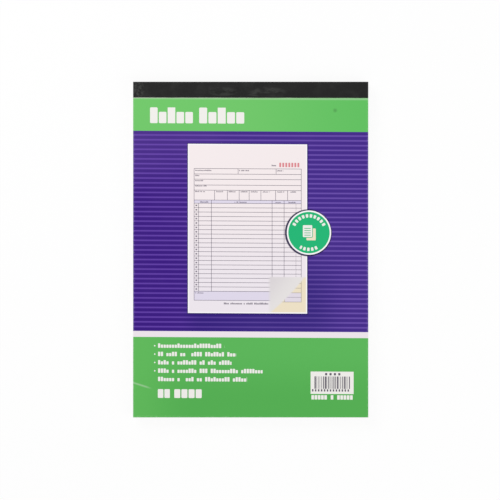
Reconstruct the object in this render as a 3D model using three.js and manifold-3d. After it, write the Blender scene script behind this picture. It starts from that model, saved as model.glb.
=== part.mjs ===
// Two-part order book: numbered white and canary sheets, stapled at the head under a black cloth tape.
// It lies on its back with the printed cover up. Millimetres: +X right, +Y to the bound head, +Z up.

import * as THREE from 'three';
import { mergeVertices } from 'three/addons/utils/BufferGeometryUtils.js';
import Module from 'manifold-3d';

const wasm = await Module();
wasm.setup();

// Whole book
const bookWidth = 146; // trimmed width of cover, sheets and board
const bookLength = 209; // from the fold at the foot to the outside of the taped spine
const layerGap = 0.05; // air between two layers that lie on each other

// Papers and boards
const coverThickness = 0.3; // coated cover card
const sheetThickness = 0.07; // one carbonless sheet
const boardThickness = 0.9; // grey chipboard
const wrapThickness = 0.35; // card of the wraparound cover
const setCount = 50; // a set is a white sheet over its canary copy
const looseSetCount = 5; // sets at the top whose sheets turn one by one

// Binding tape
const tapeThickness = 0.2;
const tapeFrontLeg = 10; // how far the tape reaches over the cover
const tapeBackLeg = 15; // how far it reaches over the back
const spineRadius = 0.8; // inside the two rounded edges of the spine

// Staples
const wireDiameter = 0.5;
const crownLength = 12; // between the middles of the two legs
const stapleSpacing = 34; // between the middles of the two staples
const stapleInset = 5; // from the outside of the spine to the crown
const clinchLength = 4.2; // leg tip turned in under the board
const bendRadius = 0.7; // middle of the wire, at each corner
const holeClearance = 0.12; // around the wire, in paper and board

// Raised tape over each staple crown
const bulgeMargin = 0.35; // level top beyond the wire on each side
const bulgeFallAcross = 1.7; // slope back to the flat tape, along Y
const bulgeFallAlong = 3.4; // and along X

// Perforation of the white sheets
const perforationInset = 4; // from the tape's edge to the line of slits
const slitLength = 2.2;
const slitWidth = 0.25;
const tieLength = 0.8; // paper left between two slits

// Wraparound cover
const foldGap = 0.05; // between a panel's edge and the fold line beside it
const footClearance = 0.15; // from the foot of the sheets to the strip when it stands along them
const coverClearance = 0.25; // from the closed cover up to the flap when it is wrapped over
const flapTipClearance = 1; // from the flap's tip to the tape's back leg
const flapCornerRadius = 9;

// Crease of the cover and the loose sheets, just clear of the tape
const creaseOffset = 0.15;
const creaseGap = 0.05;

// Levels, from the surface that the book lies on
const leafPitch = sheetThickness + layerGap;
const looseCount = 2 * looseSetCount;
const packThickness = 2 * (setCount - looseSetCount) * sheetThickness;
const flapLevel = 0;
const wrapBackLevel = flapLevel + wrapThickness + layerGap;
const boardLevel = wrapBackLevel + wrapThickness + layerGap;
const packLevel = boardLevel + boardThickness + layerGap;
const looseLevel = packLevel + packThickness + layerGap;
const coverLevel = looseLevel + looseCount * leafPitch;
const tapeTopInside = coverLevel + coverThickness + layerGap;
const tapeBottomInside = wrapBackLevel - layerGap;
const tapeTop = tapeTopInside + tapeThickness;

// Places along the book
const spineOutside = bookLength / 2;
const spineInside = spineOutside - tapeThickness;
const tapeFrontEdge = spineOutside - tapeFrontLeg;
const tapeBackEdge = spineOutside - tapeBackLeg;
const creaseY = tapeFrontEdge - creaseOffset;
const backFoldY = -bookLength / 2 - foldGap;
const backFoldZ = flapLevel + wrapThickness + layerGap / 2;
const footY = backFoldY + layerGap / 2 + wrapThickness + footClearance;
const stripLength = tapeTopInside - layerGap + coverClearance - backFoldZ;
const frontFoldY = backFoldY + stripLength;
const stapleY = spineOutside - stapleInset;
const stapleXs = [-stapleSpacing / 2, stapleSpacing / 2];
const wireRadius = wireDiameter / 2;
const crownLevel = coverLevel + coverThickness + layerGap + wireRadius;
const clinchLevel = boardLevel + layerGap + wireRadius;

// Materials
const finish = (color, roughness, metalness = 0) =>
  () => new THREE.MeshStandardMaterial({ color, roughness, metalness });
const coverCard = finish(0x4b2f8e, 0.4);
const whitePaper = finish(0xf1efec, 0.85);
const canaryPaper = finish(0xefe0a6, 0.85);
const packedPaper = finish(0xf2e9cf, 0.88);
const chipboard = finish(0x8f8a80, 0.92);
const wrapCard = finish(0xdedad0, 0.7);
const clothTape = finish(0x2b2b2c, 0.6);
const steelWire = finish(0xb9bcc0, 0.3, 1);

const book = new THREE.Group();

// Adds one named piece, lifted to its level.
function addPiece(name, geometry, material, level = 0) {
  const mesh = new THREE.Mesh(geometry, material());
  mesh.name = name;
  mesh.position.z = level;
  book.add(mesh);
  return mesh;
}

// A rectangle across the book from one Y to another.
function sheetOutline(fromY, toY) {
  const half = bookWidth / 2;
  const shape = new THREE.Shape();
  shape.moveTo(-half, fromY);
  shape.lineTo(half, fromY);
  shape.lineTo(half, toY);
  shape.lineTo(-half, toY);
  shape.closePath();
  return shape;
}

const extrudeFlat = (shape, thickness) =>
  new THREE.ExtrudeGeometry(shape, { depth: thickness, bevelEnabled: false, curveSegments: 5 });

// Round holes for the four staple legs.
function pierceForLegs(shape) {
  for (const stapleX of stapleXs) {
    for (const side of [-1, 1]) {
      const hole = new THREE.Path();
      hole.absarc(stapleX + side * crownLength / 2, stapleY, wireRadius + holeClearance, 0, 2 * Math.PI);
      shape.holes.push(hole);
    }
  }
  return shape;
}

// How far a layer's head edge stands back from the spine's inside, where the tape rounds over it.
function spineSetback(depth) {
  const rise = Math.max(spineRadius - depth, 0);
  return layerGap + spineRadius - Math.sqrt(spineRadius ** 2 - rise ** 2);
}

// The part of a layer that stays bound under the tape.
function boundStrip(bottom, thickness) {
  const headY = spineInside - spineSetback(tapeTopInside - bottom - thickness);
  return extrudeFlat(pierceForLegs(sheetOutline(creaseY + creaseGap, headY)), thickness);
}

// A closed geometry as a solid for joining and cutting, and back.
function toSolid(geometry) {
  const bare = geometry.clone();
  bare.deleteAttribute('normal');
  bare.deleteAttribute('uv');
  const merged = mergeVertices(bare, 1e-4);
  return new wasm.Manifold(new wasm.Mesh({
    numProp: 3,
    vertProperties: new Float32Array(merged.attributes.position.array),
    triVerts: new Uint32Array(merged.index.array),
  }));
}

function fromSolid(solid) {
  const mesh = solid.getMesh();
  const geometry = new THREE.BufferGeometry();
  geometry.setAttribute('position', new THREE.BufferAttribute(mesh.vertProperties, 3));
  geometry.setIndex(new THREE.BufferAttribute(mesh.triVerts, 1));
  return geometry;
}

// Cover
const leafOutline = () => sheetOutline(footY, creaseY - creaseGap);
addPiece('front_cover', extrudeFlat(leafOutline(), coverThickness), coverCard, coverLevel);
addPiece('front_cover_margin', boundStrip(coverLevel, coverThickness), coverCard, coverLevel);

// Loose sheets, from the top down: white with its perforation, canary without
function perforatedSheet() {
  let sheet = toSolid(extrudeFlat(leafOutline(), sheetThickness));
  const pitch = slitLength + tieLength;
  const slits = Math.max(Math.floor((bookWidth - tieLength) / pitch), 0);
  for (let i = 0; i < slits; i += 1) {
    const slit = new THREE.BoxGeometry(slitLength, slitWidth, 4 * sheetThickness);
    slit.translate((i - (slits - 1) / 2) * pitch, tapeFrontEdge - perforationInset, 0);
    sheet = sheet.subtract(toSolid(slit));
  }
  return fromSolid(sheet);
}

for (let set = 1; set <= looseSetCount; set += 1) {
  const papers = [
    ['white', whitePaper, perforatedSheet()],
    ['canary', canaryPaper, extrudeFlat(leafOutline(), sheetThickness)],
  ];
  papers.forEach(([colour, paper, leaf], copy) => {
    const fromTop = 2 * (set - 1) + copy + 1;
    const level = coverLevel - fromTop * leafPitch;
    addPiece(`${colour}_sheet_${set}`, leaf, paper, level);
    addPiece(`${colour}_stub_${set}`, boundStrip(level, sheetThickness), paper, level);
  });
}

// All further sets, lying packed on the board
addPiece('sheet_pack', extrudeFlat(pierceForLegs(sheetOutline(footY,
  spineInside - spineSetback(tapeTopInside - packLevel - packThickness))), packThickness),
packedPaper, packLevel);

// A round wire bent along points, mitred where it turns, with flat ends.
function bentWire(points, radius, sides = 8) {
  const vertices = [];
  const indices = [];
  const across = new THREE.Vector3(0, 1, 0);
  points.forEach((point, i) => {
    const before = i > 0 ? point.clone().sub(points[i - 1]).normalize() : null;
    const after = i < points.length - 1 ? points[i + 1].clone().sub(point).normalize() : null;
    const along = (before ?? after).clone().add(after ?? before).normalize();
    const stretch = 1 / along.dot(after ?? before);
    const outward = across.clone().cross(along);
    for (let s = 0; s < sides; s += 1) {
      const turn = 2 * Math.PI * (s + 0.5) / sides;
      const vertex = point.clone()
        .addScaledVector(across, radius * Math.cos(turn))
        .addScaledVector(outward, radius * stretch * Math.sin(turn));
      vertices.push(vertex.x, vertex.y, vertex.z);
    }
  });
  const last = (points.length - 1) * sides;
  for (let ring = 0; ring < last; ring += sides) {
    for (let s = 0; s < sides; s += 1) {
      const next = (s + 1) % sides;
      indices.push(ring + s, ring + sides + next, ring + next);
      indices.push(ring + s, ring + sides + s, ring + sides + next);
    }
  }
  for (let s = 1; s < sides - 1; s += 1) {
    indices.push(0, s, s + 1);
    indices.push(last, last + s + 1, last + s);
  }
  const geometry = new THREE.BufferGeometry();
  geometry.setAttribute('position', new THREE.Float32BufferAttribute(vertices, 3));
  geometry.setIndex(indices);
  return geometry;
}

// Middle line of a staple in the X-Z plane: crown on the cover, legs down, tips turned in under the board.
function staplePath() {
  const half = crownLength / 2;
  const corners = [
    new THREE.Vector3(half - clinchLength, 0, clinchLevel),
    new THREE.Vector3(half, 0, clinchLevel),
    new THREE.Vector3(half, 0, crownLevel),
    new THREE.Vector3(-half, 0, crownLevel),
    new THREE.Vector3(-half, 0, clinchLevel),
    new THREE.Vector3(-half + clinchLength, 0, clinchLevel),
  ];
  const points = [corners[0]];
  const bendSteps = 4;
  for (let i = 1; i < corners.length - 1; i += 1) {
    const toBefore = corners[i - 1].clone().sub(corners[i]).normalize();
    const toAfter = corners[i + 1].clone().sub(corners[i]).normalize();
    const centre = corners[i].clone().addScaledVector(toBefore, bendRadius).addScaledVector(toAfter, bendRadius);
    for (let step = 0; step <= bendSteps; step += 1) {
      const turn = (Math.PI / 2) * (step / bendSteps);
      points.push(centre.clone()
        .addScaledVector(toAfter, -bendRadius * Math.cos(turn))
        .addScaledVector(toBefore, -bendRadius * Math.sin(turn)));
    }
  }
  points.push(corners[corners.length - 1]);
  return points;
}

for (const [i, side] of ['left', 'right'].entries()) {
  const staple = addPiece(`staple_${side}`, bentWire(staplePath(), wireRadius), steelWire);
  staple.position.set(stapleXs[i], stapleY, 0);
}

// Chipboard, pierced by the legs and pressed in by the turned tips
const boardHeadY = spineInside - spineSetback(boardLevel - tapeBottomInside);
let board = toSolid(extrudeFlat(pierceForLegs(sheetOutline(footY, boardHeadY)), boardThickness)
  .translate(0, 0, boardLevel));
const grooveSide = wireDiameter + 2 * holeClearance;
for (const stapleX of stapleXs) {
  for (const side of [-1, 1]) {
    const grooveLength = clinchLength + wireRadius + 2 * holeClearance;
    const grooveTop = clinchLevel + wireRadius + layerGap;
    const groove = new THREE.BoxGeometry(grooveLength, grooveSide, 2 * (grooveTop - boardLevel));
    const outerEnd = crownLength / 2 + wireRadius + holeClearance;
    groove.translate(stapleX + side * (outerEnd - grooveLength / 2), stapleY, boardLevel);
    board = board.subtract(toSolid(groove));
  }
}
addPiece('back_board', fromSolid(board), chipboard);

// Wraparound cover: glued back panel, strip as wide as the book is thick, and the flap that goes between sheets
const wrapHeadY = spineInside - spineSetback(layerGap);
addPiece('wraparound_back', extrudeFlat(sheetOutline(footY, wrapHeadY), wrapThickness),
  wrapCard, wrapBackLevel);
addPiece('wraparound_strip', extrudeFlat(sheetOutline(backFoldY + foldGap, frontFoldY - foldGap),
  wrapThickness), wrapCard, flapLevel);

function flapOutline() {
  const half = bookWidth / 2;
  const startY = frontFoldY + foldGap;
  const tipY = tapeBackEdge - flapTipClearance;
  const shape = new THREE.Shape();
  shape.moveTo(-half, startY);
  shape.lineTo(half, startY);
  shape.absarc(half - flapCornerRadius, tipY - flapCornerRadius, flapCornerRadius, 0, Math.PI / 2);
  shape.absarc(flapCornerRadius - half, tipY - flapCornerRadius, flapCornerRadius, Math.PI / 2, Math.PI);
  shape.closePath();
  return shape;
}
addPiece('wraparound_flap', extrudeFlat(flapOutline(), wrapThickness), wrapCard, flapLevel);

// Height of the raised tape over the crowns at a place on the front leg.
const easeOut = (distance, fall) =>
  (1 + Math.cos(Math.PI * Math.min(Math.max(distance / fall, 0), 1))) / 2;
const bulgeHalfLength = crownLength / 2 + wireRadius + bulgeMargin;
const bulgeHalfWidth = wireRadius + bulgeMargin;
function bulgeHeight(x, y) {
  const nearest = Math.min(...stapleXs.map((stapleX) => Math.abs(x - stapleX)));
  const along = easeOut(nearest - bulgeHalfLength, bulgeFallAlong);
  const across = easeOut(Math.abs(y - stapleY) - bulgeHalfWidth, bulgeFallAcross);
  return (wireDiameter + layerGap) * along * across;
}

// Places on both sides of a level top where its slopes need a row of vertices.
function slopeStations(middle, halfTop, fall, steps = 4) {
  const stations = [];
  for (let step = 0; step <= steps; step += 1) {
    const distance = halfTop + fall * step / steps;
    stations.push(middle - distance, middle + distance);
  }
  return stations;
}

const inOrder = (values) => [...new Set(values)].sort((a, b) => a - b);

// Tape folded over the head: rows along its U profile, columns across the book, an inner and an outer skin.
function tapeGeometry() {
  const half = bookWidth / 2;
  const columns = inOrder([-half, half,
    ...stapleXs.flatMap((stapleX) => slopeStations(stapleX, bulgeHalfLength, bulgeFallAlong))
      .filter((x) => Math.abs(x) < half)]);
  const arcStartY = spineInside - spineRadius;
  const frontYs = inOrder([tapeFrontEdge, arcStartY,
    ...slopeStations(stapleY, bulgeHalfWidth, bulgeFallAcross)
      .filter((y) => y > tapeFrontEdge && y < arcStartY)]);
  const rows = frontYs.map((y) => ({ y, z: tapeTopInside, outY: 0, outZ: 1 }));
  const arcSteps = 5;
  for (const end of [0, 1]) {
    const centreZ = end === 0 ? tapeTopInside - spineRadius : tapeBottomInside + spineRadius;
    for (let step = end === 0 ? 1 : 0; step <= arcSteps; step += 1) {
      const turn = (Math.PI / 2) * (1 - end - step / arcSteps);
      rows.push({
        y: arcStartY + spineRadius * Math.cos(turn),
        z: centreZ + spineRadius * Math.sin(turn),
        outY: Math.cos(turn),
        outZ: Math.sin(turn),
      });
    }
  }
  rows.push({ y: tapeBackEdge, z: tapeBottomInside, outY: 0, outZ: -1 });

  const vertices = [];
  for (const offset of [0, tapeThickness]) {
    rows.forEach((row) => {
      columns.forEach((x) => {
        const rise = row.outZ === 1 ? bulgeHeight(x, row.y) : 0;
        vertices.push(x, row.y + row.outY * offset, row.z + row.outZ * (offset + rise));
      });
    });
  }
  const across = columns.length;
  const skin = rows.length * across;
  const at = (layer, row, column) => layer * skin + row * across + column;
  const indices = [];
  const quad = (a, b, c, d) => indices.push(a, b, c, a, c, d);
  for (let row = 0; row < rows.length - 1; row += 1) {
    for (let column = 0; column < across - 1; column += 1) {
      quad(at(1, row, column), at(1, row, column + 1), at(1, row + 1, column + 1), at(1, row + 1, column));
      quad(at(0, row, column), at(0, row + 1, column), at(0, row + 1, column + 1), at(0, row, column + 1));
    }
    const end = across - 1;
    quad(at(0, row, 0), at(1, row, 0), at(1, row + 1, 0), at(0, row + 1, 0));
    quad(at(0, row, end), at(0, row + 1, end), at(1, row + 1, end), at(1, row, end));
  }
  for (let column = 0; column < across - 1; column += 1) {
    const foot = rows.length - 1;
    quad(at(0, 0, column), at(0, 0, column + 1), at(1, 0, column + 1), at(1, 0, column));
    quad(at(0, foot, column), at(1, foot, column), at(1, foot, column + 1), at(0, foot, column + 1));
  }
  const geometry = new THREE.BufferGeometry();
  geometry.setAttribute('position', new THREE.Float32BufferAttribute(vertices, 3));
  geometry.setIndex(indices);
  geometry.computeVertexNormals();
  return geometry;
}
addPiece('binding_tape', tapeGeometry(), clothTape);


export default book;
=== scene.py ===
import math
import random

import bpy
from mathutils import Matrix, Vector, noise


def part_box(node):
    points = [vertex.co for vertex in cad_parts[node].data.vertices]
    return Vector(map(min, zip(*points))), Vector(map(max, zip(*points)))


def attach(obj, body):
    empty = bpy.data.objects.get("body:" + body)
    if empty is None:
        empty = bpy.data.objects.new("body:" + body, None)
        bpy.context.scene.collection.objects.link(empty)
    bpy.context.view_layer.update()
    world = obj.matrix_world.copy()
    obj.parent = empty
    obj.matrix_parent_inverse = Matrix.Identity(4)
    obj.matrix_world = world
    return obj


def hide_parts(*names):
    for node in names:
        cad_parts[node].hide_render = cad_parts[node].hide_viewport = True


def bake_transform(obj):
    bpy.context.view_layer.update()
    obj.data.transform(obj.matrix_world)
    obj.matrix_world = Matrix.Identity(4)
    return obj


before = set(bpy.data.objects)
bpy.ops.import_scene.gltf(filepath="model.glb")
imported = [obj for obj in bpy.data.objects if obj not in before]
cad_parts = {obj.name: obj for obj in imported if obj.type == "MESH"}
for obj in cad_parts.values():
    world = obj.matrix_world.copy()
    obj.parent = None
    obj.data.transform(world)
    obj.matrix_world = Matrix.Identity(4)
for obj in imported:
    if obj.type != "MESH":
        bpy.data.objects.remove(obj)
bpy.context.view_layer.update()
print("order book: frame loaded")

mm = 0.001


def colour(red, green, blue):  # 0 to 255 as seen on screen, to the linear light a shader works in
    def straighten(value):
        share = value / 255
        return share / 12.92 if share <= 0.04045 else ((share + 0.055) / 1.055) ** 2.4

    return (straighten(red), straighten(green), straighten(blue), 1.0)


# Shader arithmetic: a wire is one socket, and an expression on wires adds its nodes


class Wire:
    def __init__(self, shader, socket):
        self.shader = shader
        self.socket = socket

    def maths(self, operation, *values):
        return self.shader.node("ShaderNodeMath", {"operation": operation}, dict(enumerate(values)))

    def __add__(self, other):
        return self.maths("ADD", self, other)

    __radd__ = __add__

    def __sub__(self, other):
        return self.maths("SUBTRACT", self, other)

    def __rsub__(self, other):
        return self.maths("SUBTRACT", other, self)

    def __mul__(self, other):
        return self.maths("MULTIPLY", self, other)

    __rmul__ = __mul__

    def __truediv__(self, other):
        return self.maths("DIVIDE", self, other)

    def __gt__(self, other):
        return self.maths("GREATER_THAN", self, other)

    def __lt__(self, other):
        return self.maths("LESS_THAN", self, other)

    def __abs__(self):
        return self.maths("ABSOLUTE", self)

    def least(self, other):
        return self.maths("MINIMUM", self, other)

    def most(self, other):
        return self.maths("MAXIMUM", self, other)

    def floor(self):
        return self.maths("FLOOR", self)

    def part(self):  # what is left above the whole number
        return self.maths("FRACT", self)

    def root(self):
        return self.maths("SQRT", self)

    def between(self, low, high):  # 1 from low to high, else 0
        return (self > low) * (self < high)

    def ramp(self, low, high):  # 0 at low, 1 at high, smooth in between
        limits = {"From Min": low, "From Max": high}
        settings = {"interpolation_type": "SMOOTHSTEP"}
        return self.shader.node("ShaderNodeMapRange", settings, {"Value": self, **limits})


class Nodes:
    def __init__(self, tree):
        self.tree = tree

    def node(self, kind, settings=None, inputs=None, output=0):
        made = self.tree.nodes.new(kind)
        for key, value in (settings or {}).items():
            setattr(made, key, value)
        for key, value in (inputs or {}).items():
            self.feed(made.inputs[key], value)
        return Wire(self, made.outputs[output])

    def feed(self, socket, value):
        if isinstance(value, Wire):
            self.tree.links.new(value.socket, socket)
        else:
            socket.default_value = value

    def place(self):  # object coordinates in millimetres
        inputs = {"Vector": self.node("ShaderNodeTexCoord", output="Object"), "Scale": (mm, mm, mm)}
        return self.node("ShaderNodeMapping", {"vector_type": "TEXTURE"}, inputs)

    def upward(self):  # 1 where the surface faces up, -1 where it faces down
        return self.axes(self.node("ShaderNodeTexCoord", output="Normal"))[2]

    def axes(self, vector):
        first = self.node("ShaderNodeSeparateXYZ", None, {0: vector})
        return [Wire(self, output) for output in first.socket.node.outputs]

    def blend(self, share, under, over):  # share 0 shows under, 1 shows over
        return self.node("ShaderNodeMix", {"data_type": "RGBA"}, {0: share, 6: under, 7: over}, 2)

    def grain(self, vector, scale, detail=4, roughness=0.55, stretch=None):
        if stretch:
            vector = self.node("ShaderNodeMapping", None, {"Vector": vector, "Scale": stretch})
        inputs = {"Vector": vector, "Scale": scale, "Detail": detail, "Roughness": roughness}
        return self.node("ShaderNodeTexNoise", None, inputs, "Fac")

    def chance(self, value):  # the same random number from 0 to 1 for the same value
        return self.node("ShaderNodeTexWhiteNoise", {"noise_dimensions": "1D"}, {"W": value}, "Value")


class Shader(Nodes):
    def __init__(self, name):
        self.material = bpy.data.materials.new(name)
        self.material.use_nodes = True
        super().__init__(self.material.node_tree)
        self.surface = self.tree.nodes["Principled BSDF"]

    def finish(self, base, roughness, height=None, depth=0.0, shine=0.5, **others):
        self.feed(self.surface.inputs["Base Color"], base)
        self.feed(self.surface.inputs["Roughness"], roughness)
        self.feed(self.surface.inputs["Specular IOR Level"], shine)
        for name, value in others.items():
            self.feed(self.surface.inputs[name.replace("_", " ")], value)
        if height is not None:  # depth in millimetres from the lowest to the highest grain
            bump = self.node("ShaderNodeBump", None, {"Height": height * (depth * mm), "Distance": 1.0})
            self.feed(self.surface.inputs["Normal"], bump)
        return self.material


class Group(Nodes):  # nodes made once and used many times over
    def __init__(self, name, sockets):
        super().__init__(bpy.data.node_groups.new(name, "ShaderNodeTree"))
        for socket, kind in sockets.items():
            self.tree.interface.new_socket(socket, in_out="INPUT", socket_type="NodeSocket" + kind)
        entry = self.tree.nodes.new("NodeGroupInput")
        self.given = [Wire(self, entry.outputs[index]) for index in range(len(sockets))]

    def close(self, result, kind="Float"):
        self.tree.interface.new_socket("Result", in_out="OUTPUT", socket_type="NodeSocket" + kind)
        self.feed(self.tree.nodes.new("NodeGroupOutput").inputs[0], result)

    def use(self, nodes, *values):
        return nodes.node("ShaderNodeGroup", {"node_tree": self.tree}, dict(enumerate(values)))


# Printed marks: every function takes X and Y in millimetres and gives a mask


def lines(value, places, width):  # thin lines across a value at these places
    nearest = abs(value - places[0])
    for place in places[1:]:
        nearest = nearest.least(abs(value - place))
    return nearest < width / 2


def spans(value, *limits):  # 1 within any of these stretches
    mask = value.between(*limits[0])
    for low, high in limits[1:]:
        mask = mask.most(value.between(low, high))
    return mask


def panel(x, y, left, bottom, right, top):
    return x.between(left, right) * y.between(bottom, top)


def offset(x, y, middle):
    return x - middle[0], y - middle[1]


def distance(x, y):
    return (x * x + y * y).root()


def outside(x, y, halfWidth, halfHeight):  # how far a point is outside a box
    return distance((abs(x) - halfWidth).most(0), (abs(y) - halfHeight).most(0))


blockLook = {
    "low": 0.36,  # half of a low block's height, as a share of the line's
    "tall": 0.5,
    "corner": 0.13,  # as a share of the pitch
    "secondDraw": 0.37,
}


def markGroup():  # a row of plain rounded blocks, low and tall by chance
    look = blockLook
    names = ("X", "Y", "Left", "Foot", "Height", "Pitch", "Seed", "Spaces", "Filled", "Tall")
    group = Group("wordMarks", dict.fromkeys(names, "Float"))
    x, y, left, foot, height, pitch, seed, spaces, filled, tall = group.given
    along = (x - left) / pitch
    cell = along.floor()
    first = cell < 0.5
    key = cell + seed
    full = (group.chance(key) < tall).most(first)
    shown = (group.chance(key + look["secondDraw"]) > spaces).most(first)
    halfHeight = (full * (look["tall"] - look["low"]) + look["low"]) * height
    corner = pitch * look["corner"]
    beyondX = (abs(along.part() - 0.5) * pitch - (filled * pitch / 2 - corner)).most(0)
    beyondY = (abs(y - foot - halfHeight) - (halfHeight - corner)).most(0)
    group.close((distance(beyondX, beyondY) < corner) * shown)
    return group


wordGroup = markGroup()


def wordMarks(x, y, left, foot, height, pitch, seed, spaces=0.16, filled=0.8, tall=0.36):
    return wordGroup.use(x.shader, x, y, left, foot, height, pitch, seed, spaces, filled, tall)


def wordRow(x, y, left, foot, height, pitch, seed, filled, tall, *shown):  # blocks without spaces
    return wordMarks(x, y, left, foot, height, pitch, seed, 0, filled, tall) * spans(x, *shown)


orderForm = {
    "frame": (-65.4, -87.9, 65.8, 73.4),  # left, bottom, right, top on a full sheet
    "lineWidth": 0.5,
    "headLines": (66.7, 60.3, 53.2, 46.9, 34.8, 30.9),
    "rowPitch": 5.39,
    "rows": 20,
    "columns": (-44.2, 30.1, 44.8),
    "numberColumn": -59.9,
    "centsColumn": 59.3,
    "dotPitch": 1.6,
    "boxDividers": (-40.3, -24.7, -10.2, 2.0, 16.4, 34.4, 49.1),
    "topDividers": (-11.5, 35.0),
    "rowNumbers": (1.7, 3.8),  # from the frame's left side
    "rowNumberShare": 0.17,  # of a row's pitch, to either side
    "ink": colour(78, 68, 92),
    "inkShare": 0.8,
    "tint": colour(226, 219, 237),
    "number": (38.2, 75.6, 5.4, 3.7, 984, 0.62, 1, (38, 64.4)),
    "numberInk": colour(214, 66, 84),
    "numberShare": 0.75,
    "labelSeeds": (7, 131),  # first and step
    "labels": (  # foot, height, pitch, share of spaces, and the stretches that are shown
        (70.4, 1.5, 1.1, 0.12, ((-64.2, -44), (-10.4, 2), (36, 44))),
        (64.1, 1.5, 1.12, 0.05, ((-64.1, -59),)),
        (57.9, 1.5, 1.09, 0.05, ((-64.15, -54.3),)),
        (51.4, 1.5, 1.11, 0.12, ((-64.05, -50),)),
        (44.5, 1.5, 1.08, 0.1, ((-64.25, -52), (-38.5, -30), (-23, -14.5), (-8.5, 0), (4, 12.5), (18.5, 27),
                                (36.5, 45), (51, 59.5))),
        (31.7, 1.6, 1.2, 0.05, ((-58, -48), (-16, -1), (34, 41), (50, 59))),
        (-79.6, 1.5, 1.13, 0.16, ((-63.9, -54),)),
        (-92.8, 2.3, 1.62, 0.12, ((-29.2, 25.4),)),
        (76.6, 2.0, 1.45, 0, ((29.4, 35),)),
    ),
}


def formGroup():  # ruled order form on a full sheet, X and Y from the sheet's middle
    look = orderForm
    group = Group("orderForm", {"X": "Float", "Y": "Float", "Paper": "Color"})
    x, y, paper = group.given
    left, bottom, right, top = look["frame"]
    width = look["lineWidth"]
    rowPitch = look["rowPitch"]
    headFoot = look["headLines"][-1]
    bodyFoot = headFoot - rowPitch * look["rows"]
    acrossFrame = x.between(left, right)
    upright = y.between(bottom, top)
    overFoot = y > bodyFoot
    inBody = overFoot * (y < headFoot)
    columnsTop = look["headLines"][-2]
    inTable = overFoot * (y < columnsTop)
    marks = lines(x, (left, right), width) * upright
    marks = marks.most(lines(y, (bottom, top, bodyFoot) + look["headLines"], width) * acrossFrame)
    rowOff = abs(((headFoot - y) / rowPitch).part() - 0.5)
    marks = marks.most((rowOff > 0.5 - width / rowPitch / 2) * acrossFrame * inBody)
    marks = marks.most(lines(x, look["columns"], width) * inTable)
    marks = marks.most(lines(x, (look["numberColumn"],), width) * inBody)
    dots = (y / look["dotPitch"]).part() > 0.5
    marks = marks.most(lines(x, (look["centsColumn"],), width) * dots * inBody)
    marks = marks.most(lines(x, look["boxDividers"], width) * y.between(columnsTop, look["headLines"][-3]))
    marks = marks.most(lines(x, look["topDividers"], width) * (y > look["headLines"][0]) * upright)
    numbersLeft, numbersRight = (left + place for place in look["rowNumbers"])
    labels = (rowOff < look["rowNumberShare"]) * x.between(numbersLeft, numbersRight) * inBody
    firstSeed, seedStep = look["labelSeeds"]
    for index, (foot, height, pitch, spaces, places) in enumerate(look["labels"]):
        words = wordMarks(x, y, places[0][0], foot, height, pitch, firstSeed + seedStep * index, spaces)
        labels = labels.most(words * spans(x, *places))
    tinted = ((1 - overFoot) * upright + inTable - inBody) * acrossFrame
    base = group.blend(tinted, paper, look["tint"])
    base = group.blend(marks.most(labels * look["inkShare"]), base, look["ink"])
    number = wordRow(x, y, *look["number"]) * look["numberShare"]
    group.close(group.blend(number, base, look["numberInk"]), "Color")
    return group


printGroup = formGroup()


# Front cover: coated card with a violet pinstriped field between two green bands
# A pair named Across, Up or Edge is where an ink starts and where it is full

coverLook = {
    "thickness": 0.3,
    "grid": (40, 54),  # faces across and along
    "swell": (0.1, 0.05, 4.2),  # lift towards the foot, and its waves' length and seed
    "creaseReach": 0.27,  # how far from the crease line the card bends
    "creaseRows": 8,
    "printSkew": 0.0056,  # the print runs down a little towards the right
    "white": colour(242, 240, 236),
    "canary": colour(240, 227, 200),
    "rim": colour(253, 251, 253),
    "cloudScale": 0.035,
    "fineScale": 2.2,
    "roughness": (0.28, 0.12, 0.1, 0.3),  # plain, and by fine grain, clouds and rub
    "grainDepth": 0.012,
    "shine": 0.22,
}

fieldInks = {
    # painted shading: the head green is lighter at the left and the foot green lighter towards its top and
    # left, as the light falls from the upper left
    "headGreen": colour(112, 200, 105),
    "headGreenFar": colour(97, 194, 96),
    "headFarAcross": (-20, 80),
    "footGreen": colour(83, 176, 81),
    "footGreenHigh": colour(91, 184, 89),
    "footHighUp": (-95, -60),
    "footGreenLeft": colour(97, 188, 91),
    "footLeftAcross": (-35, -75),
    "footLeftShare": 0.8,
    "violetLeft": colour(54, 11, 127),
    "violet": colour(65, 36, 137),
    "stripeLeft": colour(96, 60, 166),
    "stripe": colour(105, 76, 172),
    "violetAcross": (-60, 10),
    "stripePitch": 2.976,
    "stripePlace": 0.628,
    "stripeEdge": (0.12, 0.5),
    # painted sheen: the violet is washed paler towards the upper left, where the light falls
    "violetSheen": colour(138, 107, 189),
    "sheenUp": (25, 75),
    "sheenAcross": (10, -60),
    "sheenShare": 0.13,
    "cloudShare": 0.09,
    "violetShade": colour(0, 0, 104),  # the printed shadow under the picture
    "shadeReach": (28, 0),
    "shadeUp": (12, -35),
    "shadeAcross": (-46, -30),
    "shadeShare": 0.4,
    "fieldTop": 73.6,
    "fieldFoot": -50.7,
    "band": colour(240, 231, 238),
    "bandFoot": -54.4,
}


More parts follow.
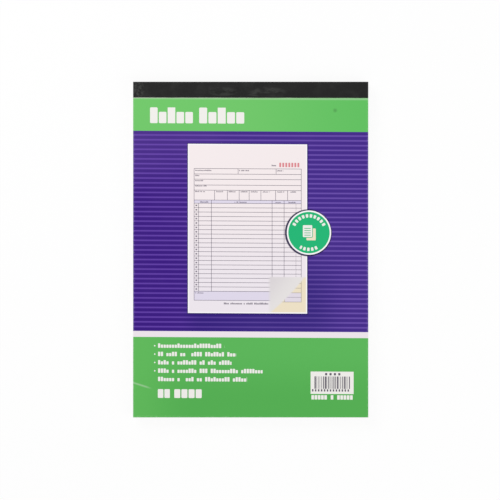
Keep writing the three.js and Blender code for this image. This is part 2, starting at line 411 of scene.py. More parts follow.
def inkField(shader, x, y, cloud, fromPicture):
    look = fieldInks
    # painted shading: the head green is lighter at the left
    green = shader.blend(x.ramp(*look["headFarAcross"]), look["headGreen"], look["headGreenFar"])
    stripePlace = ((y / look["stripePitch"] + look["stripePlace"]).part() - 0.5) * 2
    stripe = 1 - abs(stripePlace).ramp(*look["stripeEdge"])
    across = x.ramp(*look["violetAcross"])
    violet = shader.blend(across, look["violetLeft"], look["violet"])
    pale = shader.blend(across, look["stripeLeft"], look["stripe"])
    field = shader.blend(stripe, violet, pale)
    # painted sheen towards the upper left, plus random clouds in the ink
    sheenAndCloud = y.ramp(*look["sheenUp"]) * x.ramp(*look["sheenAcross"])
    sheenAndCloud = (sheenAndCloud * look["sheenShare"] + cloud * look["cloudShare"]).most(0)
    field = shader.blend(sheenAndCloud, field, look["violetSheen"])
    shaded = fromPicture.ramp(*look["shadeReach"]) * y.ramp(*look["shadeUp"])
    shaded = shaded * x.ramp(*look["shadeAcross"])
    field = shader.blend(shaded * look["shadeShare"], field, look["violetShade"])
    base = shader.blend(y > look["fieldTop"], field, green)
    base = shader.blend(y < look["fieldFoot"], base, look["band"])
    # painted shading: the foot green is lighter towards its top and its left
    foot = shader.blend(y.ramp(*look["footHighUp"]), look["footGreen"], look["footGreenHigh"])
    leftward = x.ramp(*look["footLeftAcross"]) * look["footLeftShare"]
    foot = shader.blend(leftward, foot, look["footGreenLeft"])
    return shader.blend(y < look["bandFoot"], base, foot)


pictureInks = {
    "box": (-39.0, -39.4, 35.05, 65.7),  # left, bottom, right and top
    "rimWidth": 0.75,
    "shade": colour(40, 24, 96),
    "shadeWidths": (0.5, 0.85, 0.8, 0.4),
    "shadeShare": 0.7,
    "sheetWidth": 146,
    "paper": colour(247, 237, 238),
    "paperLow": colour(240, 233, 240),
    "paperUp": (-30, 50),
}

cornerInks = {  # the picture's turned-up corner
    "hangsFrom": (33.2, -16.6),
    "across": (10.3, 12.9),
    "up": (0.3, -0.6),
    "height": 22.8,
    "lean": 0.963,
    "bow": 5.2,
    "rows": (-20.8, -23.6, -26.5, -29.3, -32.2),
    "rowsEnd": 31.5,
    "rowWidth": 0.25,
    "side": 31.4,
    "sideFoot": -32.3,
    "divider": 21.1,
    "dividerWidth": 0.24,
    "dividerSpan": (-32.25, -29.3),
    "tinted": (21.1, -32.2, 31.35, -26.5),
    "tintShare": 0.85,
    "inkShare": 0.7,
    "paper": colour(221, 215, 218),
    "foldAcross": (-22, 0),
    "foldShare": 0.5,
    "foldEdge": (-0.6, 1.2),
}


def inkCorner(shader, x, y, inside, base):
    look = cornerInks
    cornerX, cornerY = offset(x, y, look["hangsFrom"])
    turned = x.ramp(*look["across"]) * cornerY.ramp(*look["up"]) * inside
    down = cornerY * (-1 / look["height"])
    canary = cornerX - cornerY * look["lean"] - down * (1 - down) * look["bow"]
    ruled = lines(y, look["rows"], look["rowWidth"]) * (x < look["rowsEnd"])
    ruled = ruled.most(lines(x, (look["side"],), look["rowWidth"]) * (y > look["sideFoot"]))
    divider = lines(x, (look["divider"],), look["dividerWidth"]) * y.between(*look["dividerSpan"])
    tinted = panel(x, y, *look["tinted"])
    page = shader.blend(tinted * look["tintShare"], coverLook["canary"], orderForm["tint"])
    page = shader.blend(ruled.most(divider) * look["inkShare"], page, orderForm["ink"])
    fold = canary.ramp(*look["foldAcross"])
    under = shader.blend(fold * look["foldShare"], look["paper"], coverLook["white"])
    page = shader.blend(canary.ramp(*look["foldEdge"]), under, page)
    return shader.blend(turned, base, page)


def inkPicture(shader, x, y, pictureX, pictureY, base):  # a sheet of the form in a pale rim
    look = pictureInks
    left, bottom, right, top = look["box"]
    toLeft, toBottom, toRight, toTop = look["shadeWidths"]
    shade = panel(x, y, left - toLeft, bottom - toBottom, right + toRight, top + toTop)
    base = shader.blend(shade * look["shadeShare"], base, look["shade"])
    base = shader.blend(panel(x, y, left, bottom, right, top), base, coverLook["rim"])
    rim = look["rimWidth"]
    inside = panel(x, y, left + rim, bottom + rim, right - rim, top - rim)
    scale = (right - left) / look["sheetWidth"]
    paper = shader.blend(y.ramp(*look["paperUp"]), look["paperLow"], look["paper"])
    printed = printGroup.use(shader, pictureX / scale, pictureY / scale, paper)
    return inkCorner(shader, x, y, inside, shader.blend(inside, base, printed))


badgeInks = {
    "middle": (36.2, 10.95),
    "green": colour(28, 184, 118),
    "shade": colour(34, 22, 70),
    "shadeMiddle": (-0.4, -0.15),  # from the badge's
    "shadeEdge": (14.9, 14.3),
    "shadeShare": 0.97,
    "rimRadius": 13.75,
    "discRadius": 12.85,
    "markPitch": 13.5,  # degrees
    "markStretch": 0.18,  # millimetres a degree
    "markRing": 10.4,
    "markHalf": (0.4, 0.7),
    "markCorner": 0.35,
    "upperArc": 68,  # degrees to each side
    "lowerArc": 32,
    "pageHalf": (2.4, 3.2),
    "pageCorner": 0.5,
    "pageRim": 0.9,
    "frontPage": (-0.9, 0.9),
    "backPage": (1.3, -1.1),
    "pageLines": (1.7, 0.3, -1.1, -2.5),
    "pageLineWidth": 0.45,
    "pageLineEnds": (-2.0, 2.0),
}


def inkBadge(shader, x, y, base):  # a ring of blocks round an icon of two pages
    look = badgeInks
    badgeX, badgeY = offset(x, y, look["middle"])
    radius = distance(badgeX, badgeY)
    shade = distance(*offset(badgeX, badgeY, look["shadeMiddle"])).ramp(*look["shadeEdge"])
    base = shader.blend(shade * look["shadeShare"], base, look["shade"])
    base = shader.blend(radius < look["rimRadius"], base, coverLook["rim"])
    base = shader.blend(radius < look["discRadius"], base, look["green"])
    turn = shader.node("ShaderNodeMath", {"operation": "ARCTAN2"}, {0: badgeY, 1: badgeX})
    angle = turn * (180 / math.pi)
    pitch = look["markPitch"]
    blockAcross = (((angle + 180) / pitch).part() - 0.5) * (pitch * look["markStretch"])
    marks = outside(blockAcross, radius - look["markRing"], *look["markHalf"]) < look["markCorner"]
    marks = marks * (abs(abs(angle) - 90) < look["upperArc"])
    upper = marks * (badgeY > 0)
    lower = marks * (badgeY < 0) * (abs(angle + 90) < look["lowerArc"])
    base = shader.blend(upper.most(lower), base, coverLook["white"])
    back = outside(*offset(badgeX, badgeY, look["backPage"]), *look["pageHalf"]) < look["pageCorner"]
    base = shader.blend(back, base, coverLook["canary"])
    pageX, pageY = offset(badgeX, badgeY, look["frontPage"])
    fromPage = outside(pageX, pageY, *look["pageHalf"])
    base = shader.blend(fromPage < look["pageRim"], base, look["green"])
    base = shader.blend(fromPage < look["pageCorner"], base, coverLook["white"])
    ruled = lines(pageY, look["pageLines"], look["pageLineWidth"]) * pageX.between(*look["pageLineEnds"])
    return shader.blend(ruled, base, look["green"])


wordInks = {
    "rows": (  # left, foot, height, pitch, seed, share filled, share that is tall, and where it is shown
        (-62.9, 78.4, 9.8, 5.48, 0, 0.86, 0, (-62.9, -35.5)),
        (-32.4, 78.42, 9.8, 5.76, 0, 0.86, 0, (-32.4, -3.6)),
        (-58.0, -92.2, 5.45, 4.1, 610, 0.84, 1.01, (-58.01, -50.2)),
        (-47.8, -92.2, 5.45, 4.43, 610, 0.84, 1.01, (-47.81, -30.2)),
        (37.5, -92.65, 2.7, 2.0, 720, 0.82, 1.02, (37.5, 47.5), (49.5, 51.5), (53.5, 63.4)),
    ),
    "titleMiddle": 83.3,
    "titleTall": ((-49.2, 2.3564, 4.9), (-18.0, 2.4768, 4.92)),  # middle, half width and half height
    "notesTop": -57.0,
    "notesPitch": 5.18,
    "notes": (-57.7, 1.1, 2.7, 1.72),  # left, foot, height and pitch
    "noteSeeds": (5, 41),  # first and step
    "noteStart": -57.8,
    "noteEnds": (-16.2, -9.1, -11.9, 7.4, -2.3),
    "bullet": (-59.6, 2.3),
    "bulletSize": 0.2,
    "nudge": 0.01,  # keeps like sums apart, which Cycles may otherwise lose
}


def inkWords(shader, x, y, base):
    look = wordInks
    nudge = look["nudge"]
    printed = 0
    for row in look["rows"]:
        printed = wordRow(x, y, *row).most(printed)
    fromTitle = abs(y - look["titleMiddle"])
    for middle, halfWidth, halfHeight in look["titleTall"]:
        printed = printed.most((abs(x - middle) < halfWidth) * (fromTitle < halfHeight))

    noteLine = (look["notesTop"] - y) / look["notesPitch"]
    noteY = (1 - noteLine.part()) * look["notesPitch"]
    firstSeed, seedStep = look["noteSeeds"]
    words = wordMarks(x, noteY, *look["notes"], noteLine.floor() * seedStep + firstSeed)
    shown = 0
    for index, end in enumerate(look["noteEnds"]):
        within = x.between(look["noteStart"] - index * nudge, end)
        shown = (within * (abs(noteLine - index - 0.5) < 0.5)).most(shown)
    bulletX, bulletY = look["bullet"]
    across = (x - bulletX) * (x - (bulletX + nudge * 5))
    along = (noteY - bulletY) * (noteY - (bulletY + nudge * 5))
    bullets = ((across + along) < look["bulletSize"]) * noteLine.between(0, len(look["noteEnds"]) - 1)
    return shader.blend(printed.most(words * shown).most(bullets), base, coverLook["white"])


codeInks = {
    "box": (37.2, -89.2, 63.9, -75.3),
    "bars": (39.5, -86.0, 61.8, -78.3),
    "barPitch": 1.07,
    "barShares": (0.18, 0.7),  # the narrowest, and what chance adds at most
    "figures": (
        (45.5, -77.65, 1.5, 2.72, 31, 0.5, 1, (45.4, 56.5)),
        (37.6, -87.7, 1.45, 1.84, 77, 0.52, 1, (37.5, 61.5)),
    ),
    "ink": colour(62, 52, 76),
    "inkShare": 0.9,
}


def inkBarCode(shader, x, y, base):  # bars of random widths between rows of blocks
    look = codeInks
    base = shader.blend(panel(x, y, *look["box"]), base, coverLook["white"])
    place = x / look["barPitch"]
    least, more = look["barShares"]
    bars = (place.part() < shader.chance(place.floor()) * more + least) * panel(x, y, *look["bars"])
    for row in look["figures"]:
        bars = bars.most(wordRow(x, y, *row))
    return shader.blend(bars * look["inkShare"], base, look["ink"])


coverWearAndHighlight = {
    "scratch": (-66.7, -84.8),  # a faint crease near the foot's left corner
    "scratchSlope": 0.31,
    "scratchWidth": (0.1, 0.9),
    "scratchAcross": (-60.5, -66),
    "scratchShare": 0.24,
    "headLine": (92.9, 94.0),  # painted highlight where the card bends at the hinge beside the tape, with some rubbing
    "headLineShare": 0.22,
    "smudge": (52.4, 86.9),
    "smudgeRadius": (0.3, 1.8),
    "smudgeInk": colour(60, 110, 60),
    "smudgeShare": 0.4,
    "rubbedSides": (71.6, 73),
    "rubbedFoot": (-102.8, -104.1),
    "rubbedGrain": (0.5, 0.7),
    "rubbedShare": 0.3,
}


def coverPrint():
    look, wearAndHighlight = coverLook, coverWearAndHighlight
    shader = Shader("coverPrint")
    place = shader.place()
    x, straightY = shader.axes(place)[:2]
    y = straightY + x * look["printSkew"]
    cloud = shader.grain(place, look["cloudScale"], 3) - 0.5
    fine = shader.grain(place, look["fineScale"], 5)
    left, bottom, right, top = pictureInks["box"]
    pictureX, pictureY = x - (left + right) / 2, y - (bottom + top) / 2
    fromPicture = outside(pictureX, pictureY, (right - left) / 2, (top - bottom) / 2)
    base = inkField(shader, x, y, cloud, fromPicture)
    base = inkPicture(shader, x, y, pictureX, pictureY, base)
    base = inkBadge(shader, x, y, base)
    base = inkWords(shader, x, y, base)
    base = inkBarCode(shader, x, y, base)

    scratchX, scratchY = offset(x, y, wearAndHighlight["scratch"])
    scratch = 1 - abs(scratchX * wearAndHighlight["scratchSlope"] + scratchY).ramp(*wearAndHighlight["scratchWidth"])
    scratch = scratch * x.ramp(*wearAndHighlight["scratchAcross"])
    base = shader.blend(scratch * wearAndHighlight["scratchShare"], base, look["white"])
    # painted highlight, with some rubbing, along the hinge beside the tape
    base = shader.blend(y.ramp(*wearAndHighlight["headLine"]) * wearAndHighlight["headLineShare"], base, look["white"])
    smudge = distance(*offset(x, y, wearAndHighlight["smudge"])).ramp(*wearAndHighlight["smudgeRadius"])
    base = shader.blend((1 - smudge) * wearAndHighlight["smudgeShare"], base, wearAndHighlight["smudgeInk"])
    rubbed = abs(x).ramp(*wearAndHighlight["rubbedSides"]).most(y.ramp(*wearAndHighlight["rubbedFoot"]))
    rubbed = rubbed * fine.ramp(*wearAndHighlight["rubbedGrain"])
    base = shader.blend(rubbed * wearAndHighlight["rubbedShare"], base, look["white"])

    plain, byFine, byCloud, byRub = look["roughness"]
    roughness = plain + fine * byFine + cloud * byCloud + rubbed * byRub
    return shader.finish(base, roughness, (fine + cloud) * 0.5, look["grainDepth"], look["shine"])


# Card, board, paper, tape and steel

cardLook = {
    "fibres": (1.6, 6, 0.65, (0.35, 1, 1)),  # scale, detail, roughness and stretch of the noise
    "fibreEdge": (0.3, 0.75),
    "fibreShare": 0.5,
    "pulpScale": 0.09,
    "pulpShare": 0.3,
    "speckScale": 3.1,
    "speckEdge": (0.66, 0.74),
    "speck": colour(120, 112, 100),
    "speckShare": 0.35,
    "roughness": 0.82,
    "pulpRoughness": 0.15,
    "depth": 0.03,
    "shine": 0.25,
}


def bareCard(name, base, fibre, depth=cardLook["depth"]):  # uncoated card or chipboard with fibres
    look = cardLook
    shader = Shader(name)
    place = shader.place()
    fibres = shader.grain(place, *look["fibres"])
    pulp = shader.grain(place, look["pulpScale"], 4)
    specks = shader.grain(place, look["speckScale"], 2).ramp(*look["speckEdge"])
    share = fibres.ramp(*look["fibreEdge"]) * look["fibreShare"] + pulp * look["pulpShare"]
    tone = shader.blend(share, base, fibre)
    tone = shader.blend(specks * look["speckShare"], tone, look["speck"])
    roughness = look["roughness"] + (pulp - 0.5) * look["pulpRoughness"]
    return shader.finish(tone, roughness, fibres, depth, look["shine"])


paperLook = {
    "formMiddle": -5,
    "slitWidth": 0.25,
    "slitPitch": 3,
    "slitShare": 0.734,  # of the pitch that is cut
    # painted shade in the perforation's slits
    "slit": colour(120, 112, 104),
    "slitShade": 0.6,
    "fibres": (1.4, 5, 0.6),
    "fibreShare": 0.25,
    "roughness": 0.86,
    "shine": 0.2,
    "white": colour(242, 240, 236),
    "canary": colour(240, 232, 206),
    "between": colour(240, 238, 232),  # level faces between the closed leaves
    "edgeShade": colour(184, 176, 162),
    "edgeShare": 0.12,
    "softFibres": (0.5, 4, 0.6, (1, 1, 6)),
    "softShare": 0.1,
    "softRoughness": 0.9,
    "softDepth": 0.02,
}


def sheetPaper(name, paper, showThrough, slits=0):  # carbonless paper with the form on its upper side
    look = paperLook
    shader = Shader(name)
    place = shader.place()
    x, y = shader.axes(place)[:2]
    printed = printGroup.use(shader, x, y - look["formMiddle"], paper)
    # painted shade darkens the perforation's slits
    if slits:
        cut = abs((x / look["slitPitch"]).part() - 0.5) < look["slitShare"] / 2
        slit = (abs(y - slits) < look["slitWidth"] / 2) * cut
        printed = shader.blend(slit * look["slitShade"], printed, look["slit"])
    base = shader.blend(shader.upward() > 0.5, showThrough, printed)
    fibres = shader.grain(place, *look["fibres"])
    base = shader.blend((fibres - 0.5).most(0) * look["fibreShare"], base, showThrough)
    return shader.finish(base, look["roughness"], shine=look["shine"])


def packPaper(low, pitch):  # cut edges of the closed sheets, canary and white by turns
    look = paperLook
    shader = Shader("packEdges")
    place = shader.place()
    z = shader.axes(place)[2]
    leaf = ((z - low) / pitch).floor()
    white = (leaf / 2).part() > 0.25
    base = shader.blend(white, look["canary"], look["white"])
    level = abs(shader.upward()) > 0.5
    base = shader.blend(level, base, look["between"])
    soft = shader.grain(place, *look["softFibres"])
    shade = shader.chance(leaf) * (level * -look["edgeShare"] + look["edgeShare"])
    base = shader.blend(shade + soft * look["softShare"], base, look["edgeShade"])
    return shader.finish(base, look["softRoughness"], soft, look["softDepth"], look["shine"])


tapeCloth = {
    "black": colour(22, 22, 22),
    # the paler colour of the painted highlights, rubbing, dust and pale threads
    "wornAndSheen": colour(68, 70, 67),
    "threadPitch": 0.46,
    "ridges": (2, 1.98),  # along and across
    "threadShare": 0.7,  # of the weave, and loose fibres the rest
    "threadEdge": (0.45, 0.9),
    "fibreScale": 1.9,
    "frontFrom": 9,  # height above which the cloth is the front leg
    "cloudScale": 0.11,
    "cloudEdge": (0.44, 0.74),
    "cloudShare": 0.34,
    "wisps": (0.3, 5, 0.6, (0.6, 1.4, 1.4)),
    "wispEdge": (0.38, 0.62),
    "rubbed": ((-17.2, 98.4, 11, 3.4), (10.4, 98.2, 14, 3.4), (3.2, 96.7, 7, 1.7)),  # middle and half sizes of painted highlights, with rubbing, on the raised tape
    "rubbedEdge": (0.1, 1),
    "dust": (-69.6, 99.4, 4.2, 6.3),
    "dustEdge": (0.2, 1.1),
    "dustShare": 1.2,
    "swirl": (0.62, 4, 0.6),
    "swirlEdge": (0.4, 0.6),
    "wornOnThreads": (0.15, 0.7),
    "paleThreads": 0.2,
    "roughness": (0.52, 0.2, 0.15),  # plain, and by the clouds and the weave
    "depth": 0.03,
    "shine": 0.18,
}


def tapeMaterial():
    look = tapeCloth
    shader = Shader("tapeCloth")
    place = shader.place()
    x, y, z = shader.axes(place)

    def offMiddle(middleX, middleY, halfX, halfY):
        farX, farY = (x - middleX) / halfX, (y - middleY) / halfY
        return farX * farX + farY * farY

    cloud = shader.grain(place, look["cloudScale"], 4)
    wisps = shader.grain(place, *look["wisps"])
    columns, rows = x / look["threadPitch"], (y - z) / look["threadPitch"]
    over = ((columns.floor() + rows.floor()) / 2).part() > 0.25
    ridgeAlong = 1 - abs(columns.part() - 0.5) * look["ridges"][0]
    ridgeAcross = 1 - abs(rows.part() - 0.5) * look["ridges"][1]
    woven = over * ridgeAlong + (1 - over) * ridgeAcross  # threads pass over and under each other by turns
    loose = shader.grain(place, look["fibreScale"], 3)
    weave = woven * look["threadShare"] + loose * (1 - look["threadShare"])
    front = z > look["frontFrom"]
    frayed = wisps.ramp(*look["wispEdge"]) * front
    wornAndSheen = cloud.ramp(*look["cloudEdge"]) * look["cloudShare"]
    # painted highlights, with rubbing, on the raised parts of the tape
    for spot in look["rubbed"]:
        wornAndSheen = wornAndSheen.most((1 - offMiddle(*spot).ramp(*look["rubbedEdge"])) * frayed)
    swirl = shader.grain(place, *look["swirl"]).ramp(*look["swirlEdge"])
    dust = (1 - offMiddle(*look["dust"]).ramp(*look["dustEdge"])) * swirl * front
    least, more = look["wornOnThreads"]
    share = wornAndSheen.most(dust * look["dustShare"]) * (weave * more + least)
    share = share + weave.ramp(*look["threadEdge"]) * look["paleThreads"]
    base = shader.blend(share, look["black"], look["wornAndSheen"])
    plain, byCloud, byWeave = look["roughness"]
    roughness = plain + (cloud - 0.5) * byCloud + (weave - 0.5) * byWeave
    return shader.finish(base, roughness, weave, look["depth"], look["shine"])


stapleLook = {
    "drawn": (3, 3, 0.5, (0.2, 2, 2)),  # scale, detail, roughness and stretch of the noise
    "dark": colour(180, 182, 186),
    "bright": colour(214, 216, 220),
    "roughness": 0.34,
}


def stapleSteel():
    look = stapleLook
    shader = Shader("stapleSteel")
    drawn = shader.grain(shader.place(), *look["drawn"])
    base = shader.blend(drawn, look["dark"], look["bright"])
    return shader.finish(base, look["roughness"], Metallic=1.0)


# Modelling helpers

touching = 1e-6  # metres within which two places are one


def deselect():
    bpy.ops.object.select_all(action="DESELECT")


def pick(piece):
    deselect()
    piece.select_set(True)
    bpy.context.view_layer.objects.active = piece


def gridSheet(name, left, low, right, high, level, across, along):  # a flat grid facing up
    deselect()
    middle = ((left + right) / 2, (low + high) / 2, level)
    bpy.ops.mesh.primitive_grid_add(x_subdivisions=across, y_subdivisions=along, size=1, location=middle)
    piece = bpy.context.object
    piece.name = name
    bpy.ops.transform.resize(value=(right - left, high - low, 1))
    bpy.ops.object.transform_apply(location=True, rotation=True, scale=True)
    return piece


def applyModifier(piece, kind, **settings):
    pick(piece)
    made = piece.modifiers.new(kind.title(), kind)
    for key, value in settings.items():
        setattr(made, key, value)
    bpy.ops.object.modifier_apply(modifier=made.name)


def smooth(piece, degrees=40):
    pick(piece)
    bpy.ops.object.shade_smooth_by_angle(angle=math.radians(degrees))


def reshape(piece, move):  # move takes a vertex's place and gives its new one
    for vertex in piece.data.vertices:
        vertex.co = move(vertex.co)


def wave(x, y, scale, seed):  # a slow random swell from -1 to 1
    return noise.noise(Vector((x / scale, y / scale, seed)))


def paint(piece, *materials):
    piece.data.materials.clear()
    for material in materials:
        piece.data.materials.append(material)


def pickEdge(piece, y, z):  # in edit mode: the open edge that the next stretch grows from
    bpy.ops.object.mode_set(mode="OBJECT")
    for vertex in piece.data.vertices:
        vertex.select = abs(vertex.co.y - y) < touching and abs(vertex.co.z - z) < touching
    for item in piece.data.edges:
        item.select = all(piece.data.vertices[i].select for i in item.vertices)
    for face in piece.data.polygons:
        face.select = False
    bpy.ops.object.mode_set(mode="EDIT")


def mergeDoubles():
    bpy.ops.mesh.select_all(action="SELECT")
    bpy.ops.mesh.remove_doubles(threshold=touching)


def closeStrip():  # ends edit mode with one joined skin that faces outwards
    mergeDoubles()
    bpy.ops.mesh.normals_make_consistent(inside=False)
    bpy.ops.object.mode_set(mode="OBJECT")


def extrude(move, steps=1):
    for _ in range(steps):
        value = tuple(part / steps for part in move)
        bpy.ops.mesh.extrude_region_move(TRANSFORM_OT_translate={"value": value})


def finishCard(piece, thickness, upper, lower):  # from a flat sheet to a card with its two sides
    applyModifier(piece, "SOLIDIFY", thickness=thickness * mm, offset=1)
    paint(piece, upper, lower)
    for face in piece.data.polygons:
        face.material_index = 0 if face.normal.z > 0.5 else 1
    smooth(piece)


def handOver(piece, node, body):  # the piece stands in for a CAD node and moves with its body
    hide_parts(node)
    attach(piece, body)


# The cover, the closed sheets and the loose sheets each have a map of their own, where the printed side
# gets the most room

cardMap = {  # left, foot, width and height on the map; three more rims lie above the first
    "top": (0.01, 0.01, 0.72, 0.98),
    "bottom": (0.75, 0.26, 0.24, 0.73),
    "rim": (0.75, 0.01, 0.24, 0.05),
    "printedFrom": 0.5,  # share of the height from which a level face is the printed top
}
packMap = {
    "top": (0.01, 0.01, 0.66, 0.93),
    "bottom": (0.69, 0.79, 0.3, 0.2),
    "rim": (0.69, 0.01, 0.3, 0.18),
    "printedFrom": 0.995,
}
mapGap = 0.01


def layMap(piece, layout):
    places = [vertex.co for vertex in piece.data.vertices]
    low = Vector(min(place[axis] for place in places) for axis in range(3))
    size = Vector(max(place[axis] for place in places) for axis in range(3)) - low
    layer = piece.data.uv_layers.new(name="OFBake")
    for face in piece.data.polygons:
        normal = face.normal
        flat = abs(normal.z) > 0.5
        onSide = abs(normal.x) > abs(normal.y)
        printed = normal.z > 0 and (face.center.z - low.z) / size.z > layout["printedFrom"]
        part = "rim" if not flat else "top" if printed else "bottom"
        left, foot, width, height = layout[part]
        if not flat:
            row = (2 if onSide else 0) + (1 if (normal.x if onSide else normal.y) > 0 else 0)
            foot += row * (height + mapGap)
        for corner in face.loop_indices:
            place = places[piece.data.loops[corner].vertex_index] - low
            across, along, up = (place[axis] / size[axis] for axis in range(3))
            first = along if onSide and not flat else across
            second = along if flat else up
            layer.data[corner].uv = (left + first * width, foot + second * height)
    piece.data.uv_layers.active = layer


# Front cover and its crease


def buildCover():
    look = coverLook
    low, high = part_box("front_cover")
    across, along = look["grid"]
    creaseFoot = high.y - look["creaseReach"] * mm
    cover = gridSheet("frontCover", low.x, low.y, high.x, creaseFoot, low.z, across, along)

    def lift(place):
        fromCrease = (creaseFoot - place.y) / (creaseFoot - low.y)
        height, length, seed = look["swell"]
        swell = height * fromCrease * (1 + wave(place.x, place.y, length, seed))
        return Vector((place.x, place.y, place.z + swell * mm))

    reshape(cover, lift)
    finishCard(cover, look["thickness"], coverInk, coverBack)
    layMap(cover, cardMap)
    handOver(cover, "front_cover", "cover")

    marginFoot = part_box("front_cover_margin")[0].y
    rows = look["creaseRows"]
    crease = gridSheet("coverCrease", low.x, creaseFoot, high.x, marginFoot, low.z, across, rows)
    finishCard(crease, look["thickness"], coverInk, coverBack)
    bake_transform(crease)
    print("cover and its crease made")


# Binding tape: laid over the head and pressed down, with a swelling over each staple

tapeLook = {
    "thickness": 0.2,
    "aboveCover": 0.05,
    "cornerRadius": 0.8,
    "cornerSteps": 6,
    "frontLeg": 10,
    "frontGrid": (150, 22),  # faces across and along
    "spineRows": 8,
    "backLeg": 15,
    "backRows": 10,
    "stapleX": (-17, 17),
    "crownInset": 5,
    "crownHalf": (6.6, 0.6),  # across and along the book
    "swelling": 0.55,
    "fall": (3.4, 2.2),
    "looseReach": 3,  # how far from its front edge the tape is loose
    "pucker": (0.16, 7, 1.3),  # height, length and seed of its waves
    "loose": (0.13, 6, 4, 8),  # height, middle, half length and fall
    "skew": 0.28,  # the front edge runs this much lower at the right end
    "stray": (0.1, 9, 7.1),  # the front edge's own waves
}


def buildTape():
    look = tapeLook
    low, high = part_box("binding_tape")
    thickness, radius = look["thickness"] * mm, look["cornerRadius"] * mm
    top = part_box("front_cover_margin")[1].z + look["aboveCover"] * mm
    bottom = low.z + thickness
    spine = high.y - thickness
    edge = high.y - look["frontLeg"] * mm
    tape = gridSheet("bindingTape", low.x, edge, high.x, spine - radius, top, *look["frontGrid"])
    bpy.ops.object.mode_set(mode="EDIT")
    turn = {"steps": look["cornerSteps"], "angle": math.pi / 2, "axis": (1, 0, 0)}
    bpy.ops.mesh.select_mode(type="EDGE")
    pickEdge(tape, spine - radius, top)
    bpy.ops.mesh.spin(center=(0, spine - radius, top - radius), **turn)
    pickEdge(tape, spine, top - radius)
    extrude((0, 0, -(top - bottom - 2 * radius)), look["spineRows"])
    pickEdge(tape, spine, bottom + radius)
    bpy.ops.mesh.spin(center=(0, spine - radius, bottom + radius), **turn)
    pickEdge(tape, spine - radius, bottom)
    extrude((0, -(spine - radius - (high.y - look["backLeg"] * mm)), 0), look["backRows"])
    closeStrip()

    def ease(past, fall):
        return (1 + math.cos(math.pi * min(max(past / fall, 0), 1))) / 2

    def settle(place):
        if place.z <= top - touching:
            return place
        x, y = place.x / mm, place.y / mm
        across = min(abs(x - stapleX) for stapleX in look["stapleX"]) - look["crownHalf"][0]
        along = abs(y - (high.y / mm - look["crownInset"])) - look["crownHalf"][1]
        over = ease(across, look["fall"][0]) * ease(along, look["fall"][1])
        atEdge = ease(y - edge / mm, look["looseReach"])
        height, length, seed = look["pucker"]
        pucker = height * max(wave(x, y, length, seed), 0) * (1 - over) * (1 - atEdge)
        height, middle, half, fall = look["loose"]
        loose = height * atEdge * ease(abs(x - middle) - half, fall)
        rise = look["swelling"] * over + pucker + loose
        height, length, seed = look["stray"]
        slide = look["skew"] * (0.5 - (place.x - low.x) / (high.x - low.x))
        slide = (slide + height * wave(x, 0, length, seed)) * atEdge
        return Vector((place.x, (y + slide) * mm, place.z + rise * mm))

    reshape(tape, settle)
    applyModifier(tape, "SOLIDIFY", thickness=thickness, offset=1)
    paint(tape, tapeMaterial())
    smooth(tape)
    handOver(tape, "binding_tape", "bound_pack")
    print("tape made")


# Closed sheets: one leaf is cut, stacked and then knocked up a little unevenly

packLook = {
    "leafPitch": 0.07,
    "leafShare": 0.9,
    "uneven": 0.035,
    "mostUneven": 0.12,
    "seed": 11,
    "topShare": 0.2,  # of a leaf's pitch, within which a face is the printed top
}


def buildPack():
    look = packLook
    low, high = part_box("sheet_pack")
    pitch = look["leafPitch"] * mm
    thickness = pitch * look["leafShare"]
    count = round((high.z - low.z) / pitch)
    deselect()
    middle = ((low.x + high.x) / 2, (low.y + high.y) / 2, low.z + thickness / 2)
    bpy.ops.mesh.primitive_cube_add(size=1, location=middle)
    pack = bpy.context.object
    pack.name = "closedSheets"
    bpy.ops.transform.resize(value=(high.x - low.x, high.y - low.y, thickness))
    bpy.ops.object.transform_apply(location=True, rotation=True, scale=True)
    stack = {"count": count, "use_relative_offset": False, "use_constant_offset": True}
    applyModifier(pack, "ARRAY", constant_offset_displace=(0, 0, pitch), **stack)
    generator = random.Random(look["seed"])
    offsets = [[generator.gauss(0, look["uneven"]) for _ in range(3)] for _ in range(count)]

    def knock(place):
        leaf = min(int((place.z - low.z) / pitch), count - 1)
        inX, inFoot, inHead = (min(abs(value), look["mostUneven"]) * mm for value in offsets[leaf])
        x = place.x - math.copysign(inX, place.x)
        y = place.y - inHead if place.y > 0 else place.y + inFoot
        return Vector((x, y, place.z))

    reshape(pack, knock)
    paint(pack, packPaper(low.z / mm, look["leafPitch"]), whitePaper)
    for face in pack.data.polygons:
        face.material_index = 1 if face.center.z > high.z - pitch * look["topShare"] else 0
    layMap(pack, packMap)
    handOver(pack, "sheet_pack", "bound_pack")
    print(f"pack made of {count} sheets")


# Loose sheets: each is cut from its CAD node, slits and all, and printed on a map of its own


def buildSheets():
    for name in sorted(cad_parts):
        kind, _, number = name.partition("_sheet_")
        if not number:
            continue
        sheet = bpy.data.objects.new(f"{kind}Sheet{number}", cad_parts[name].data.copy())
        bpy.context.scene.collection.objects.link(sheet)
        pick(sheet)
        bpy.ops.object.mode_set(mode="EDIT")
        mergeDoubles()
        bpy.ops.object.mode_set(mode="OBJECT")
        layMap(sheet, cardMap)
        paint(sheet, whitePaper if kind == "white" else canaryPaper)
        smooth(sheet)
        handOver(sheet, name, f"{kind}_leaf_{number}")
    print("loose sheets made")


# Wraparound card: a narrow piece bends between the two panels of each crease

foldLook = {"skin": 0.08, "past": 0.05, "steps": 12, "rows": 8}


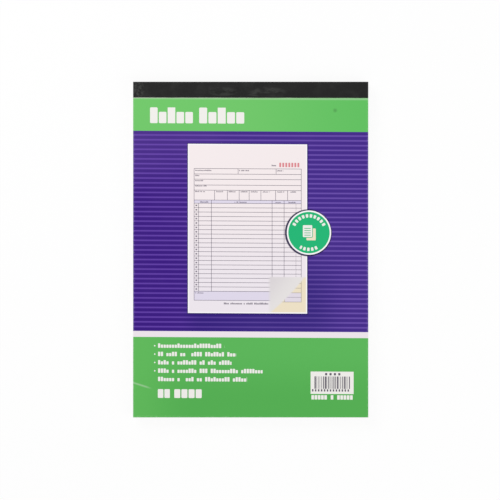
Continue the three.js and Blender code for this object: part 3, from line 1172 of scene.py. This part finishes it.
def buildBackFold():  # round the foot, from the panel under the board down to the strip
    look = foldLook
    low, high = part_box("wraparound_back")
    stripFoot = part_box("wraparound_strip")[0]
    radius = (high.z - stripFoot.z) / 2
    foldY = stripFoot.y - look["past"] * mm
    fold = gridSheet("wraparoundBackFold", low.x, foldY, high.x, low.y, high.z, 1, 2)
    bpy.ops.object.mode_set(mode="EDIT")
    bpy.ops.mesh.select_mode(type="EDGE")
    pickEdge(fold, foldY, high.z)
    centre = (0, foldY, high.z - radius)
    bpy.ops.mesh.spin(center=centre, steps=look["steps"], angle=-math.pi, axis=(1, 0, 0))
    pickEdge(fold, foldY, stripFoot.z)
    extrude((0, stripFoot.y - foldY, 0))
    closeStrip()
    applyModifier(fold, "SOLIDIFY", thickness=look["skin"] * mm, offset=-1)
    paint(fold, wrapCard)
    smooth(fold)
    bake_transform(fold)


def buildFrontFold():  # between the strip and the flap
    low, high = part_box("wraparound_strip")
    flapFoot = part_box("wraparound_flap")[0].y
    fold = gridSheet("wraparoundFrontFold", low.x, high.y, high.x, flapFoot, low.z, 1, foldLook["rows"])
    finishCard(fold, (high.z - low.z) / mm, wrapCard, wrapCard)
    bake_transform(fold)
    print("wraparound folds made")


# Studio: pale floor, soft lamps and the camera straight above the book

studio = {
    "pixelsWide": 500,
    "mmPerPixel": 0.6210,
    "bookMiddlePixel": (250.7, 249.9),
    "lens": 110,
    "sensor": 36,
    "nearest": 0.01,
    "coverLevel": 9.6,
    "floorHalf": 3,
    "floorTone": 0.95,
    "floorRoughness": 0.9,
    "floorGlow": 0.9,
    "world": 0.5,
    "lampSize": 0.6,
    "key": (-0.5, 0.55, 0.75, 5.1),  # place and power
    "fill": (0.6, -0.35, 0.7, 2.7),
}


def addLamp(name, place, power, size):
    deselect()
    bpy.ops.object.light_add(type="AREA", location=place)
    lamp = bpy.context.object
    lamp.name = name
    lamp.data.energy = power
    lamp.data.size = size
    direction = Vector(place) * -1
    lamp.rotation_euler = direction.to_track_quat("-Z", "Y").to_euler()


def buildFloor():
    look = studio
    half, tone = look["floorHalf"], look["floorTone"]
    floor = gridSheet("floor", -half, -half, half, half, 0, 4, 4)
    shader = Shader("floorPale")
    seen = 0
    for name in ("Is Camera Ray", "Is Glossy Ray", "Is Transmission Ray"):
        seen = shader.node("ShaderNodeLightPath", output=name).most(seen)
    shader.finish((tone, tone, tone, 1), look["floorRoughness"], shine=0.0)
    glow = shader.node("ShaderNodeEmission", None, {"Color": (1, 1, 1, 1), "Strength": 1.0})
    surface = Wire(shader, shader.surface.outputs[0])
    mixed = shader.node("ShaderNodeMixShader", None, {0: seen * look["floorGlow"], 1: surface, 2: glow})
    shader.feed(shader.tree.nodes["Material Output"].inputs["Surface"], mixed)
    paint(floor, shader.material)


def buildLights():
    look = studio
    world = bpy.data.worlds.new("studioAir")
    bpy.context.scene.world = world
    world.use_nodes = True
    backdrop = world.node_tree.nodes["Background"]
    backdrop.inputs["Color"].default_value = (1, 1, 1, 1)
    backdrop.inputs["Strength"].default_value = look["world"]
    for name in ("key", "fill"):
        x, y, z, power = look[name]
        addLamp(name + "Lamp", (x, y, z), power, look["lampSize"])


def buildCamera():
    look = studio
    wide, scale = look["pixelsWide"], look["mmPerPixel"]
    height = wide * scale * look["lens"] / look["sensor"] + look["coverLevel"]
    middleX, middleY = look["bookMiddlePixel"]
    place = ((wide / 2 - middleX) * scale, (middleY - wide / 2) * scale, height)
    deselect()
    bpy.ops.object.camera_add(location=tuple(part * mm for part in place))
    camera = bpy.context.object
    camera.name = "viewer"
    camera.data.lens = look["lens"]
    camera.data.sensor_width = look["sensor"]
    camera.data.clip_start = look["nearest"]
    bpy.context.scene.camera = camera
    bpy.context.scene.view_settings.view_transform = "Standard"
    print("studio made")


coverInk = coverPrint()
coverBack = bareCard("coverBack", colour(226, 224, 220), colour(202, 199, 192), depth=0.015)
wrapCard = bareCard("wrapCard", colour(224, 221, 214), colour(204, 199, 188))
grayBoard = bareCard("grayBoard", colour(150, 146, 138), colour(118, 113, 104), depth=0.06)
perforation = 90.5  # the slits' distance from the middle of the book
whitePaper = sheetPaper("whitePaper", colour(240, 239, 236), colour(236, 235, 232), perforation)
canaryPaper = sheetPaper("canaryPaper", colour(240, 226, 172), colour(238, 224, 172))

buildFloor()
buildLights()
buildCamera()
buildCover()
buildTape()
buildPack()
buildSheets()
buildBackFold()
buildFrontFold()
finishes = {"white_stub_": whitePaper, "canary_stub_": canaryPaper, "wraparound_": wrapCard,
            "staple_": stapleSteel(), "back_board": grayBoard, "front_cover_margin": coverBack}
for name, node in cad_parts.items():  # these keep their CAD shape
    for start, material in finishes.items():
        if name.startswith(start):
            paint(node, material)
print("carried nodes dressed")
